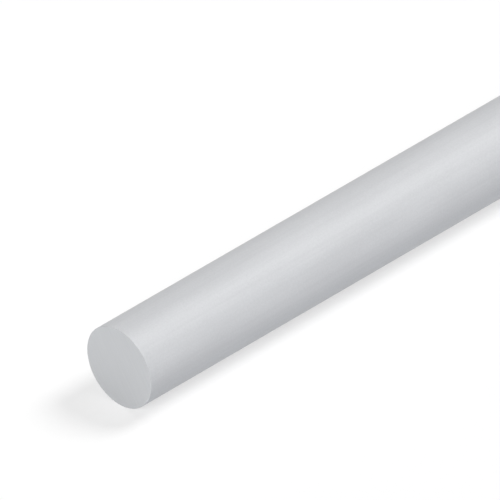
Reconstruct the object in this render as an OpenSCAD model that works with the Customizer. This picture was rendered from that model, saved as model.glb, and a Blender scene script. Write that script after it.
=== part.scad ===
// Solid round rubber cord, sold by the metre: one extruded length, cut square at both ends.
// It lies on the floor at z = 0, with +X along its length and its middle at x = 0 and y = 0.

/* [Cord] */
// Diameter of the round section
cord_diameter = 40; // [5:1:60]
// Length of the piece, from one cut end to the other
cord_length = 1000; // [200:50:2000]

/* [Hidden] */
cord_radius = cord_diameter / 2;
rubber_grey = [0.76, 0.77, 0.78];
$fn = 96;

// The round opening of the die that the rubber is pushed through
module die_section() {
    circle(d = cord_diameter);
}

// The length that leaves the die, with the sharp rims of a knife cut, laid along X on the floor
module round_cord() {
    color(rubber_grey)
        translate([0, 0, cord_radius])
            rotate([0, 90, 0])
                linear_extrude(cord_length, center = true)
                    die_section();
}

round_cord();
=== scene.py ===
# %% [markdown]
# # A rubber round cord
# Round cord is solid rubber. An extruder pushes it through a round die, heat cures it, and a knife
# cuts it to the length that the shop sells. This lesson dresses such a cord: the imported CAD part
# fixes its size and place, and the cells below give it a finely made surface, a rubber finish, a
# camera and a small studio. Each step first says what the piece is and why it is made this way.

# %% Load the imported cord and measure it
import math

import bmesh
import bpy
from mathutils import Matrix, Vector


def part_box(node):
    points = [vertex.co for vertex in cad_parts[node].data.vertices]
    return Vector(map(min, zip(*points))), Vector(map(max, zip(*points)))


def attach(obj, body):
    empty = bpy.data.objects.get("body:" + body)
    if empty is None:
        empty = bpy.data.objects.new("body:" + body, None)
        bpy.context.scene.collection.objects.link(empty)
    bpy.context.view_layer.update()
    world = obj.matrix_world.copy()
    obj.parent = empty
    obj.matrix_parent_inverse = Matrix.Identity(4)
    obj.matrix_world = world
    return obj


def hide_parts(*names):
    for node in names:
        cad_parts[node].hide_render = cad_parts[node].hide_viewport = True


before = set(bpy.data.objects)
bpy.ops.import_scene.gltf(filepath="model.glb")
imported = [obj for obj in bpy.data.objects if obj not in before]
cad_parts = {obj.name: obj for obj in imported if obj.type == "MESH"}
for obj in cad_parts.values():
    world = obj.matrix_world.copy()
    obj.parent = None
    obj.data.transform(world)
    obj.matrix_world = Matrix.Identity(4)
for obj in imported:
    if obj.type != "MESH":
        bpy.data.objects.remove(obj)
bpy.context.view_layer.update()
cord_low, cord_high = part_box("round_cord")
cord_length = cord_high.x - cord_low.x
cord_diameter = cord_high.z - cord_low.z
cord_radius = cord_diameter / 2
cord_middle = (cord_low + cord_high) / 2
near_end = cord_middle - Vector((cord_length / 2, 0, 0))
print(f"cord: {cord_length:.3f} m long, {cord_diameter * 1000:.1f} mm thick")

# %% [markdown]
# ## The camera
# The picture is drawn in parallel lines: the cord keeps its width all along. An orthographic camera
# would show that exactly, but it would have to be rescaled for every other view. A very long lens,
# far away, looks almost the same and still works when it is moved.
# Two facts of the drawing fix the direction of view: how steeply the cord climbs across the picture,
# and how flat the round cut end looks. The cord's width in pixels then fixes the scale.

# %% Place the camera
PHOTO_SIDE_PX = 500
END_CENTRE_PX = (119.0, 367.6)
CORD_WIDTH_PX = 90.8
CORD_CLIMB_DEG = 30.0
END_FLATNESS = 0.583
LENS_MM = 1500
SENSOR_MM = 36


def view_axes(climb_deg, flatness):
    """Directions right, up and away of a level camera that sees the X axis in that way."""
    climb = math.radians(climb_deg)
    shown = math.sqrt(1 - flatness ** 2)
    turn = math.asin(shown * math.cos(climb))
    tip = math.asin(shown * math.sin(climb) / math.cos(turn))
    away = Vector((math.cos(tip) * math.cos(turn), math.cos(tip) * math.sin(turn), -math.sin(tip)))
    right = Vector((math.sin(turn), -math.cos(turn), 0))
    return right, right.cross(away), away


right, up, away = view_axes(CORD_CLIMB_DEG, END_FLATNESS)
metres_per_px = cord_diameter / CORD_WIDTH_PX
middle_px = PHOTO_SIDE_PX / 2
aim = near_end + right * (middle_px - END_CENTRE_PX[0]) * metres_per_px
aim += up * (END_CENTRE_PX[1] - middle_px) * metres_per_px
camera_distance = PHOTO_SIDE_PX * metres_per_px * LENS_MM / SENSOR_MM

camera_data = bpy.data.cameras.new("long_lens")
camera_data.lens = LENS_MM
camera_data.sensor_width = SENSOR_MM
camera_data.clip_end = 2 * camera_distance
camera = bpy.data.objects.new("long_lens", camera_data)
bpy.context.scene.collection.objects.link(camera)
camera.location = aim - away * camera_distance
camera.rotation_euler = Matrix((right, up, -away)).transposed().to_euler()
bpy.context.scene.camera = camera
print(f"camera: {camera_distance:.2f} m away, {PHOTO_SIDE_PX * metres_per_px * 1000:.0f} mm in frame")

# %% [markdown]
# ## Helpers for node trees
# A node tree is only nodes and links. One helper adds a node with its options and inputs, and a few
# more do sums, vectors, ranges and noise, so that the cells below can be read as recipes.

# %% Helpers for node trees


def put(tree, kind, inputs=None, **options):
    """Add a node, set its options, and fill inputs, by name or number, with a value or a link."""
    node = tree.nodes.new(kind)
    for name, value in options.items():
        setattr(node, name, value)
    for name, value in (inputs or {}).items():
        if isinstance(value, bpy.types.NodeSocket):
            tree.links.new(value, node.inputs[name])
        else:
            node.inputs[name].default_value = value
    return node


def sums(tree, operation, *values):
    """The result of one Math node."""
    return put(tree, "ShaderNodeMath", dict(enumerate(values)), operation=operation).outputs[0]


def vectors(tree, operation, *values):
    """The result of one Vector Math node."""
    return put(tree, "ShaderNodeVectorMath", dict(enumerate(values)), operation=operation).outputs[0]


def scaled(tree, vector, factor):
    """The vector made that many times as long."""
    return put(tree, "ShaderNodeVectorMath", {0: vector, "Scale": factor}, operation="SCALE").outputs[0]


def along_x(tree, distance):
    """A vector of that length along X, which is the direction of the cord."""
    return put(tree, "ShaderNodeCombineXYZ", {"X": distance}).outputs[0]


def mapped(tree, value, low, high, to_low, to_high):
    """The value moved from one range to another, and kept inside it."""
    inputs = {"Value": value, "From Min": low, "From Max": high, "To Min": to_low, "To Max": to_high}
    return put(tree, "ShaderNodeMapRange", inputs).outputs["Result"]


def noise(tree, where, grain, detail, seed):
    """Noise from 0 to 1 with features of about that size, in the units of where."""
    inputs = {"Vector": where, "W": seed, "Scale": 1 / grain, "Detail": detail}
    return put(tree, "ShaderNodeTexNoise", inputs, noise_dimensions="4D").outputs["Fac"]


def spread(tree, value, low=0, high=1, *, reach):
    """Noise keeps near a half: what lies within reach of a half, spread from low to high."""
    return mapped(tree, value, 0.5 - reach, 0.5 + reach, low, high)


def blended(tree, first, second, second_share):
    """Two values added, the second one with that share of the whole."""
    first = sums(tree, "MULTIPLY", first, 1 - second_share)
    return sums(tree, "MULTIPLY_ADD", second, second_share, first)


print("helpers: ready")

# %% [markdown]
# ## Rubber
# Rubber is a dull dielectric: most light is scattered in its body colour, and a weak, wide gloss lies
# on top. One function makes every rubber here. What differs from finish to finish, the pattern of
# colour, roughness and relief, comes in as a function of its own. Image textures would need a
# photograph of rubber and would show seams. Noise on Object coordinates needs no photograph and has no
# seams, and it stays where it is on the cord from every side.

# %% A function for rubber
RUBBER_SPECULAR = 0.3
RELIEF_HEIGHT = 0.0001


def rubber(name, pattern):
    """A rubber material, whose pattern function gives its colour, roughness and relief."""
    material = bpy.data.materials.new(name)
    material.use_nodes = True
    tree = material.node_tree
    shader = tree.nodes["Principled BSDF"]
    shader.inputs["Specular IOR Level"].default_value = RUBBER_SPECULAR
    place = put(tree, "ShaderNodeTexCoord").outputs["Object"]
    colour, roughness, height, strength = pattern(tree, place)
    bump = put(tree, "ShaderNodeBump", {"Height": height, "Strength": strength, "Distance": RELIEF_HEIGHT})
    tree.links.new(colour, shader.inputs["Base Color"])
    tree.links.new(roughness, shader.inputs["Roughness"])
    tree.links.new(bump.outputs[0], shader.inputs["Normal"])
    return material


def shade_between(tree, share, dark, light):
    """A colour between two, by a share from 0 to 1."""
    ramp = put(tree, "ShaderNodeValToRGB", {"Fac": share})
    ramp.color_ramp.elements[0].color = dark
    ramp.color_ramp.elements[1].color = light
    return ramp.outputs["Color"]


print("rubber: ready")

# %% [markdown]
# ## The skin
# The skin that leaves the die is even, with faint lines drawn along it, a thin bloom of talc that
# keeps the cord from sticking to itself, and a fine grain that makes it matt. All three are noise.
# Where X is squeezed before the noise is read, it comes out drawn along the cord: a strong squeeze
# gives the long lines, a slight one the drifts of talc, and none at all, with a tiny noise, the grain.
# All of them stay faint, because good cord looks plain from arm's length.

# %% Make the skin
SKIN_DARK = (0.532, 0.540, 0.556, 1)
SKIN_LIGHT = (0.592, 0.600, 0.616, 1)
SKIN_ROUGHNESS = (0.48, 0.58)
SKIN_RELIEF = 0.3
SKIN_GRAIN = 0.0008
DIE_LINE_WIDTH = 0.0014
DIE_LINE_SQUEEZE = 0.01
TALC_DRIFT = 0.012
TALC_SQUEEZE = 0.3


def drawn_along(tree, place, share):
    """The place with its X squeezed to that share, so that noise on it is drawn out along the cord."""
    return vectors(tree, "MULTIPLY", place, (share, 1, 1))


def skin_pattern(tree, place):
    """Lines from the die, drifts of talc and a fine grain."""
    lines = noise(tree, drawn_along(tree, place, DIE_LINE_SQUEEZE), DIE_LINE_WIDTH, detail=3, seed=1.0)
    talc = noise(tree, drawn_along(tree, place, TALC_SQUEEZE), TALC_DRIFT, detail=4, seed=2.0)
    grain = noise(tree, place, SKIN_GRAIN, detail=3, seed=3.0)
    bloom = blended(tree, lines, talc, second_share=0.6)
    paleness = spread(tree, blended(tree, bloom, grain, second_share=0.4), reach=0.12)
    colour = shade_between(tree, paleness, SKIN_DARK, SKIN_LIGHT)
    roughness = spread(tree, talc, *SKIN_ROUGHNESS, reach=0.2)
    relief = blended(tree, grain, lines, second_share=0.4)
    return colour, roughness, relief, SKIN_RELIEF


skin_rubber = rubber("rubber_skin", skin_pattern)
print("finish:", skin_rubber.name)

# %% [markdown]
# ## The cut
# The cut shows raw rubber: no talc, a slightly duller surface, and the drag lines that a long knife
# leaves as it is pulled through. The lines run one way across the whole face, so each place is turned
# about X and squeezed along the pull before the noise is read there.

# %% Make the cut
CUT_DARK = (0.538, 0.548, 0.559, 1)
CUT_LIGHT = (0.570, 0.580, 0.591, 1)
CUT_ROUGHNESS = (0.52, 0.62)
CUT_RELIEF = 0.3
CUT_GRAIN = 0.0005
KNIFE_DRAG_WIDTH = 0.0011
KNIFE_PULL_DEG = 35
KNIFE_PULL_SQUEEZE = 0.05


def along_knife(tree, place):
    """The place turned so that the knife pulls along Z, with Z squeezed and X left out."""
    turned = put(tree, "ShaderNodeVectorRotate", {"Vector": place, "Angle": math.radians(KNIFE_PULL_DEG)},
                 rotation_type="X_AXIS")
    return vectors(tree, "MULTIPLY", turned.outputs[0], (0, 1, KNIFE_PULL_SQUEEZE))


def cut_pattern(tree, place):
    """Drag lines of the knife across raw rubber, with a fine grain."""
    drags = noise(tree, along_knife(tree, place), KNIFE_DRAG_WIDTH, detail=3, seed=4.0)
    grain = noise(tree, place, CUT_GRAIN, detail=2, seed=5.0)
    paleness = spread(tree, blended(tree, drags, grain, second_share=0.3), reach=0.2)
    colour = shade_between(tree, paleness, CUT_DARK, CUT_LIGHT)
    roughness = spread(tree, drags, *CUT_ROUGHNESS, reach=0.2)
    relief = blended(tree, grain, drags, second_share=0.5)
    return colour, roughness, relief, CUT_RELIEF


cut_rubber = rubber("rubber_cut", cut_pattern)
print("finish:", cut_rubber.name)

# %% [markdown]
# ## The skin's form
# An extruder makes this shape, so the tree does what an extruder does: it pushes a round section
# along a route. A cylinder primitive would be quicker, but its rings would all be equally far apart.
# Here they crowd towards both ends, by a cosine, because that is where the eye looks closest.

# %% Nodes for the skin's form


def straight_route(tree, half_length, rings):
    """A straight curve along X from -half_length to half_length, with points crowded to its ends."""
    line = put(tree, "GeometryNodeCurvePrimitiveLine", {"Start": (-1, 0, 0), "End": (1, 0, 0)})
    points = put(tree, "GeometryNodeResampleCurve", {"Curve": line.outputs[0], "Count": rings})
    share = put(tree, "GeometryNodeSplineParameter").outputs["Factor"]
    from_far = sums(tree, "COSINE", sums(tree, "MULTIPLY", share, math.pi))
    along = sums(tree, "MULTIPLY", from_far, sums(tree, "MULTIPLY", half_length, -1))
    inputs = {"Geometry": points.outputs[0], "Position": along_x(tree, along)}
    return put(tree, "GeometryNodeSetPosition", inputs).outputs[0]


def round_skin(tree, half_length, radius, sides, rings):
    """The round skin, open at both ends."""
    die = put(tree, "GeometryNodeCurvePrimitiveCircle", {"Resolution": sides, "Radius": radius}).outputs[0]
    route = straight_route(tree, half_length, rings)
    return put(tree, "GeometryNodeCurveToMesh", {"Curve": route, "Profile Curve": die}).outputs[0]


print("skin's form: ready")

# %% [markdown]
# ## The cut ends
# A knife leaves a flat round face with a rim that is almost sharp. A fan of triangles could close the
# end, but its thin wedges would take no marks of the knife. A grid of small squares can, once it is
# bent into a disc: each square ring of its points becomes a round one, with its points spread evenly.
# With a quarter as many squares on each side as the skin has sides, the disc meets the skin point for
# point, and its outermost rings bend back into the small round of the rim.

# %% Nodes for a cut end


def either(tree, choice, first, second):
    """The first value where the choice is true, otherwise the second."""
    inputs = {"Switch": choice, "True": first, "False": second}
    return put(tree, "GeometryNodeSwitch", inputs, input_type="FLOAT").outputs[0]


def round_about(tree, place):
    """For a point of a square from -1 to 1: its ring, with a sign, and its angle on a disc."""
    across = put(tree, "ShaderNodeSeparateXYZ", {0: place}).outputs
    u, v = across["X"], across["Y"]
    sides = {0: sums(tree, "ABSOLUTE", u), 1: sums(tree, "ABSOLUTE", v)}
    wide = put(tree, "FunctionNodeCompare", sides, operation="GREATER_EQUAL").outputs[0]
    eighth = math.pi / 4
    angle_wide = sums(tree, "MULTIPLY", sums(tree, "DIVIDE", v, u), eighth)
    angle_tall = sums(tree, "MULTIPLY_ADD", sums(tree, "DIVIDE", u, v), -eighth, 2 * eighth)
    return either(tree, wide, u, v), either(tree, wide, angle_wide, angle_tall)


def cut_end(tree, radius, sides, rim, rim_rings):
    """A cut end that faces along X from the origin, with its rim bent back."""
    points = sums(tree, "ADD", sums(tree, "DIVIDE", sides, 4), 1)
    inputs = {"Size X": 2, "Size Y": 2, "Vertices X": points, "Vertices Y": points}
    grid = put(tree, "GeometryNodeMeshGrid", inputs).outputs["Mesh"]
    ring, angle = round_about(tree, put(tree, "GeometryNodeInputPosition").outputs[0])
    rim_start = sums(tree, "SUBTRACT", 1, sums(tree, "DIVIDE", rim_rings, sums(tree, "DIVIDE", sides, 8)))
    flat_share = mapped(tree, sums(tree, "ABSOLUTE", ring), 0, rim_start, 0, 1)
    bend = mapped(tree, sums(tree, "ABSOLUTE", ring), rim_start, 1, 0, math.pi / 2)
    flat_radius = sums(tree, "MULTIPLY", flat_share, sums(tree, "SUBTRACT", radius, rim))
    from_axis = sums(tree, "MULTIPLY_ADD", sums(tree, "SINE", bend), rim, flat_radius)
    back = sums(tree, "MULTIPLY", sums(tree, "SUBTRACT", sums(tree, "COSINE", bend), 1), rim)
    reach = sums(tree, "MULTIPLY", from_axis, sums(tree, "SIGN", ring))
    place = put(tree, "ShaderNodeCombineXYZ", {
        "X": back,
        "Y": sums(tree, "MULTIPLY", reach, sums(tree, "COSINE", angle)),
        "Z": sums(tree, "MULTIPLY", reach, sums(tree, "SINE", angle)),
    }).outputs[0]
    return put(tree, "GeometryNodeSetPosition", {"Geometry": grid, "Position": place}).outputs[0]


print("cut end: ready")

# %% [markdown]
# ## One closed cord
# Both ends are the same piece, and one of them is turned round to face the other way. Joining puts
# the three meshes into one, and Merge by Distance welds the points that lie on each other, so that
# the cord is closed like the real one.

# %% Nodes that join and weld
WELD_DISTANCE = 0.000002


def set_at(tree, mesh, along, turn_deg):
    """The mesh turned about Z and moved along X."""
    inputs = {
        "Geometry": mesh,
        "Translation": along_x(tree, along),
        "Rotation": (0, 0, math.radians(turn_deg)),
    }
    return put(tree, "GeometryNodeTransform", inputs).outputs[0]


def welded(tree, *meshes):
    """The meshes as one, with the points that lie on each other merged."""
    joined = tree.nodes.new("GeometryNodeJoinGeometry")
    for mesh in meshes:
        tree.links.new(mesh, joined.inputs[0])
    inputs = {"Geometry": joined.outputs[0], "Distance": WELD_DISTANCE}
    return put(tree, "GeometryNodeMergeByDistance", inputs).outputs[0]


print("join and weld: ready")

# %% [markdown]
# ## Lines of the die and the knife
# A die is never perfect: small nicks in it draw shallow lines along the whole cord. So the skin is
# pressed in by noise that only knows the direction from the middle line, not the place along it. The
# knife's marks are noise too, drawn out along its pull, pressed into both cut faces, and different at
# each end. They are real dents in the mesh, so they also show without this finish.

# %% Nodes for the lines
DIE_NICK_SPACING = 0.003
DIE_NICK_NOISE = (0.4, 0.75)
KNIFE_MARK_SPACING = 0.0025
FLAT_FACING = 0.9


def facing_ends(tree, least):
    """True where the surface faces along the cord by at least that much."""
    normal = put(tree, "GeometryNodeInputNormal").outputs["Normal"]
    along = put(tree, "ShaderNodeSeparateXYZ", {0: normal}).outputs["X"]
    inputs = {0: sums(tree, "ABSOLUTE", along), 1: least}
    return put(tree, "FunctionNodeCompare", inputs, operation="GREATER_THAN").outputs[0]


def die_lines(tree, mesh, radius, rim, depth, seed):
    """Draw the lines of a nicked die along the skin, fading out where the rim meets the cut."""
    place = put(tree, "GeometryNodeInputPosition").outputs[0]
    from_axis = vectors(tree, "MULTIPLY", place, (0, 1, 1))
    length = put(tree, "ShaderNodeVectorMath", {0: from_axis}, operation="LENGTH").outputs["Value"]
    outward = vectors(tree, "NORMALIZE", from_axis)
    on_skin = mapped(tree, length, sums(tree, "SUBTRACT", radius, rim), radius, 0, 1)
    nicks = noise(tree, scaled(tree, outward, radius), DIE_NICK_SPACING, detail=3, seed=seed)
    nicked = mapped(tree, nicks, *DIE_NICK_NOISE, 0, 1)
    sunk = sums(tree, "MULTIPLY", sums(tree, "MULTIPLY", nicked, on_skin), depth)
    offset = scaled(tree, scaled(tree, outward, -1), sunk)
    return put(tree, "GeometryNodeSetPosition", {"Geometry": mesh, "Offset": offset}).outputs[0]


def knife_marks(tree, mesh, depth, seed):
    """Press shallow drag lines of the knife into both cut faces."""
    place = put(tree, "GeometryNodeInputPosition").outputs[0]
    outward = sums(tree, "SIGN", put(tree, "ShaderNodeSeparateXYZ", {0: place}).outputs["X"])
    seed_here = sums(tree, "ADD", seed, outward)
    marks = noise(tree, along_knife(tree, place), KNIFE_MARK_SPACING, detail=3, seed=seed_here)
    inward = sums(tree, "MULTIPLY", outward, -1)
    sunk = sums(tree, "MULTIPLY", sums(tree, "MULTIPLY", marks, depth), inward)
    offset = along_x(tree, sunk)
    inputs = {"Geometry": mesh, "Selection": facing_ends(tree, FLAT_FACING), "Offset": offset}
    return put(tree, "GeometryNodeSetPosition", inputs).outputs[0]


print("lines: ready")

# %% [markdown]
# ## The tree's inputs
# A tree is easiest to use again when its sizes are inputs with names, as on a machine's panel. Each
# input also has an identifier, which never changes, and a modifier knows its inputs only by that.
# So the names and identifiers are kept side by side.

# %% Name the tree's inputs
CORD_INPUTS = {
    "Length": "NodeSocketFloat",
    "Radius": "NodeSocketFloat",
    "Middle": "NodeSocketVector",
    "Sides": "NodeSocketInt",
    "Rings along": "NodeSocketInt",
    "Rim radius": "NodeSocketFloat",
    "Rim rings": "NodeSocketInt",
    "Die line depth": "NodeSocketFloat",
    "Knife mark depth": "NodeSocketFloat",
    "Seed": "NodeSocketFloat",
    "Skin": "NodeSocketMaterial",
    "Cut": "NodeSocketMaterial",
}

cord_nodes = bpy.data.node_groups.new("extruded_cord", "GeometryNodeTree")
cord_nodes.interface.new_socket("Geometry", in_out="OUTPUT", socket_type="NodeSocketGeometry")
cord_identifiers = {}
for input_name, input_kind in CORD_INPUTS.items():
    socket = cord_nodes.interface.new_socket(input_name, in_out="INPUT", socket_type=input_kind)
    cord_identifiers[input_name] = socket.identifier
print("cord tree:", len(cord_identifiers), "inputs")

# %% [markdown]
# ## The tree of the cord
# The tree makes the skin, sets both cut ends on it, draws the lines, lifts the cord to its height
# above the floor and paints skin and cut. What faces along the cord is cut, and the rest is skin, so
# the two finishes meet half way round the rim.

# %% Assemble the tree
CUT_FACING = 0.7


def dressed(tree, mesh, skin, cut):
    """The mesh smooth and realized, in the finish of the skin and of the cut."""
    mesh = put(tree, "GeometryNodeSetShadeSmooth", {"Geometry": mesh}).outputs[0]
    mesh = put(tree, "GeometryNodeRealizeInstances", {"Geometry": mesh}).outputs[0]
    # A grid brings an empty material slot along, which the skin takes over
    mesh = put(tree, "GeometryNodeReplaceMaterial", {"Geometry": mesh, "New": skin}).outputs[0]
    mesh = put(tree, "GeometryNodeSetMaterial", {"Geometry": mesh, "Material": skin}).outputs[0]
    inputs = {"Geometry": mesh, "Selection": facing_ends(tree, CUT_FACING), "Material": cut}
    return put(tree, "GeometryNodeSetMaterial", inputs).outputs[0]


def closed_cord(tree, length, radius, sides, rings, rim, rim_rings):
    """The skin with a cut end set on each end of it, centred on the origin."""
    half_length = sums(tree, "MULTIPLY", length, 0.5)
    skin = round_skin(tree, sums(tree, "SUBTRACT", half_length, rim), radius, sides, rings)
    end = cut_end(tree, radius, sides, rim, rim_rings)
    far_cut = set_at(tree, end, half_length, 0)
    near_cut = set_at(tree, end, sums(tree, "MULTIPLY", half_length, -1), 180)
    return welded(tree, skin, near_cut, far_cut)


def fill_cord_tree(tree):
    """Put the nodes of the cord between the tree's inputs and its output."""
    given = tree.nodes.new("NodeGroupInput").outputs
    radius, rim, seed = given["Radius"], given["Rim radius"], given["Seed"]
    mesh = closed_cord(tree, given["Length"], radius, given["Sides"], given["Rings along"],
                       rim, given["Rim rings"])
    mesh = die_lines(tree, mesh, radius, rim, given["Die line depth"], seed)
    mesh = knife_marks(tree, mesh, given["Knife mark depth"], seed)
    mesh = put(tree, "GeometryNodeSetPosition", {"Geometry": mesh, "Offset": given["Middle"]}).outputs[0]
    put(tree, "NodeGroupOutput", {"Geometry": dressed(tree, mesh, given["Skin"], given["Cut"])})


fill_cord_tree(cord_nodes)
print("cord tree:", len(cord_nodes.nodes), "nodes")

# %% [markdown]
# ## Extruding the cord
# A modifier runs the tree. The large sizes come from the CAD part, and the small ones are a maker's:
# a sharp knife leaves a rim of about 0.3 mm, and the lines are about a twentieth of a millimetre
# deep. 360 sides keep the outline round in a close view. The result is then turned into a plain mesh
# and the modifier is taken off, because the exported part keeps meshes and drops modifiers.

# %% Extrude the cord
cord_settings = {
    "Length": cord_length,
    "Radius": cord_radius,
    "Middle": cord_middle,
    "Sides": 360,
    "Rings along": 160,
    "Rim radius": 0.0003,
    "Rim rings": 3,
    "Die line depth": 0.00005,
    "Knife mark depth": 0.00006,
    "Seed": 7.0,
    "Skin": skin_rubber,
    "Cut": cut_rubber,
}


def plain_mesh(name, tree, identifiers, settings):
    """An object at the origin whose plain mesh is what the tree makes with those settings."""
    piece = bpy.data.objects.new(name, bpy.data.meshes.new(name))
    bpy.context.scene.collection.objects.link(piece)
    modifier = piece.modifiers.new(name, "NODES")
    modifier.node_group = tree
    for setting, value in settings.items():
        modifier[identifiers[setting]] = value
    evaluated = piece.evaluated_get(bpy.context.evaluated_depsgraph_get())
    made = bpy.data.meshes.new_from_object(evaluated)
    piece.modifiers.remove(modifier)
    piece.data = made
    return piece


cord = plain_mesh("extruded_cord", cord_nodes, cord_identifiers, cord_settings)
print("cord mesh:", len(cord.data.polygons), "faces,", [finish.name for finish in cord.data.materials])

# %% [markdown]
# ## A look at the mesh
# A mesh that others will use should be closed, with its faces pointing outwards. A bmesh can tell. In
# a closed mesh each edge has two faces that agree on which way they point, and the signed volume is
# positive if that way is outwards. The volume also checks the size: it should come out a little under
# that of a perfect cylinder, because the lines are pressed in.

# %% Measure the mesh
measured = bmesh.new()
measured.from_mesh(cord.data)
triangles = sum(len(face.verts) - 2 for face in measured.faces)
closed = all(edge.is_contiguous for edge in measured.edges)
volume = measured.calc_volume(signed=True)
measured.free()
cylinder_share = volume / (math.pi * cord_radius ** 2 * cord_length)
print(f"cord mesh: {triangles} triangles, closed {closed}, {cylinder_share:.1%} of a cylinder's volume")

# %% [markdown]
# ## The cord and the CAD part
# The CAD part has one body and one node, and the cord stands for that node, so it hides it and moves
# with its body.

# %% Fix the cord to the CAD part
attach(cord, "root")
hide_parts("round_cord")
print("cord: rides on root, stands for round_cord")

# %% [markdown]
# ## The floor
# The drawing has a white ground, and a cord that lies on something needs its shadow. A white floor
# under studio light comes out a little grey, and more light would bleach the cord. So the floor is
# white paint that glows for the rays which show it: those to the camera, and those that a shiny or
# clear thing sends on. A glow of 1 is white, and as it is only a share of the floor, the shadow stays.
# For the rays that only carry light, the paint is a pale, cool grey, which throws just enough light up
# under the cord to leave its lower side as dark and as cool as it is drawn.

# %% Lay the floor
FLOOR_SIDE = 40.0
FLOOR_WHITE = (0.97, 0.97, 0.97, 1)
FLOOR_BOUNCE = (0.748, 0.757, 0.778, 1)
FLOOR_GLOW_SHARE = 0.6


def showing_rays(tree):
    """1 for the rays that show a background, straight or in something shiny or clear, otherwise 0."""
    rays = put(tree, "ShaderNodeLightPath").outputs
    seen = sums(tree, "MAXIMUM", rays["Is Camera Ray"], rays["Is Glossy Ray"])
    return sums(tree, "MAXIMUM", seen, rays["Is Transmission Ray"])


floor_paint = bpy.data.materials.new("white_floor")
floor_paint.use_nodes = True
floor_tree = floor_paint.node_tree
floor_tree.nodes.clear()
floor_shown = showing_rays(floor_tree)
floor_colour = shade_between(floor_tree, floor_shown, FLOOR_BOUNCE, FLOOR_WHITE)
paint = put(floor_tree, "ShaderNodeBsdfDiffuse", {"Color": floor_colour}).outputs[0]
glow = put(floor_tree, "ShaderNodeEmission", {"Strength": 1.0}).outputs[0]
glow_share = sums(floor_tree, "MULTIPLY", floor_shown, FLOOR_GLOW_SHARE)
painted = put(floor_tree, "ShaderNodeMixShader", {0: glow_share, 1: paint, 2: glow}).outputs[0]
put(floor_tree, "ShaderNodeOutputMaterial", {"Surface": painted})

bpy.ops.mesh.primitive_plane_add(size=FLOOR_SIDE)
floor = bpy.context.object
floor.name = "floor"
floor.data.materials.append(floor_paint)
print("floor:", FLOOR_SIDE, "m wide")

# %% [markdown]
# ## The surroundings
# Pale walls around a studio throw a weak, even light back on everything. The world gives that light,
# and looks white to the rays that show it, in the same way as the floor.

# %% Set the world
AMBIENT_LEVEL = 0.1
WALL_WHITE = (1, 1, 1, 1)

studio = bpy.data.worlds.new("studio")
studio.use_nodes = True
world_tree = studio.node_tree
world_tree.nodes.clear()
world_level = mapped(world_tree, showing_rays(world_tree), 0, 1, AMBIENT_LEVEL, 1)
walls = put(world_tree, "ShaderNodeBackground", {"Color": WALL_WHITE, "Strength": world_level}).outputs[0]
put(world_tree, "ShaderNodeOutputWorld", {"Surface": walls})
bpy.context.scene.world = studio
print("world: level", AMBIENT_LEVEL)

# %% [markdown]
# ## The lamps
# The drawing's shading tells where its light stands: the bright band lies a little above the middle
# of the cord as we see it, so the light comes from overhead and slightly in front, and the cut end is
# as bright as the middle greys, so some of it comes from the left. Two lamps share that light. A third
# one, weak and low behind the cord, hardly shows from here, but it helps whoever walks round the cord.
# Area lamps would do, but near ones leave a bright pool on the floor. A Sun lamp with a wide angle is
# like a softbox at a great distance: its shadow is as soft, and the floor is evenly white out to the
# horizon.

# %% Hang the lamps
LAMP_WIDTH_DEG = 26


def far_softbox(name, forward_deg, left_deg, level):
    """A soft even lamp, tilted that far from overhead; level is how bright a white card facing it is."""
    data = bpy.data.lights.new(name, "SUN")
    data.angle = math.radians(LAMP_WIDTH_DEG)
    data.energy = level * math.pi
    lamp = bpy.data.objects.new(name, data)
    bpy.context.scene.collection.objects.link(lamp)
    forward = math.radians(forward_deg)
    left = math.radians(left_deg)
    toward = Vector((-math.tan(left), -math.sin(forward), math.cos(forward)))
    lamp.rotation_euler = toward.to_track_quat("Z", "Y").to_euler()
    return lamp


right_softbox = far_softbox("right_softbox", forward_deg=12, left_deg=-35, level=0.70)
left_softbox = far_softbox("left_softbox", forward_deg=36, left_deg=50, level=0.71)
back_softbox = far_softbox("back_softbox", forward_deg=-85, left_deg=0, level=0.15)
print("lamps:", right_softbox.name, left_softbox.name, back_softbox.name)

# %% [markdown]
# ## Finish
# The Standard view shows colours as they are written.

# %% Finish
bpy.context.scene.view_settings.view_transform = "Standard"
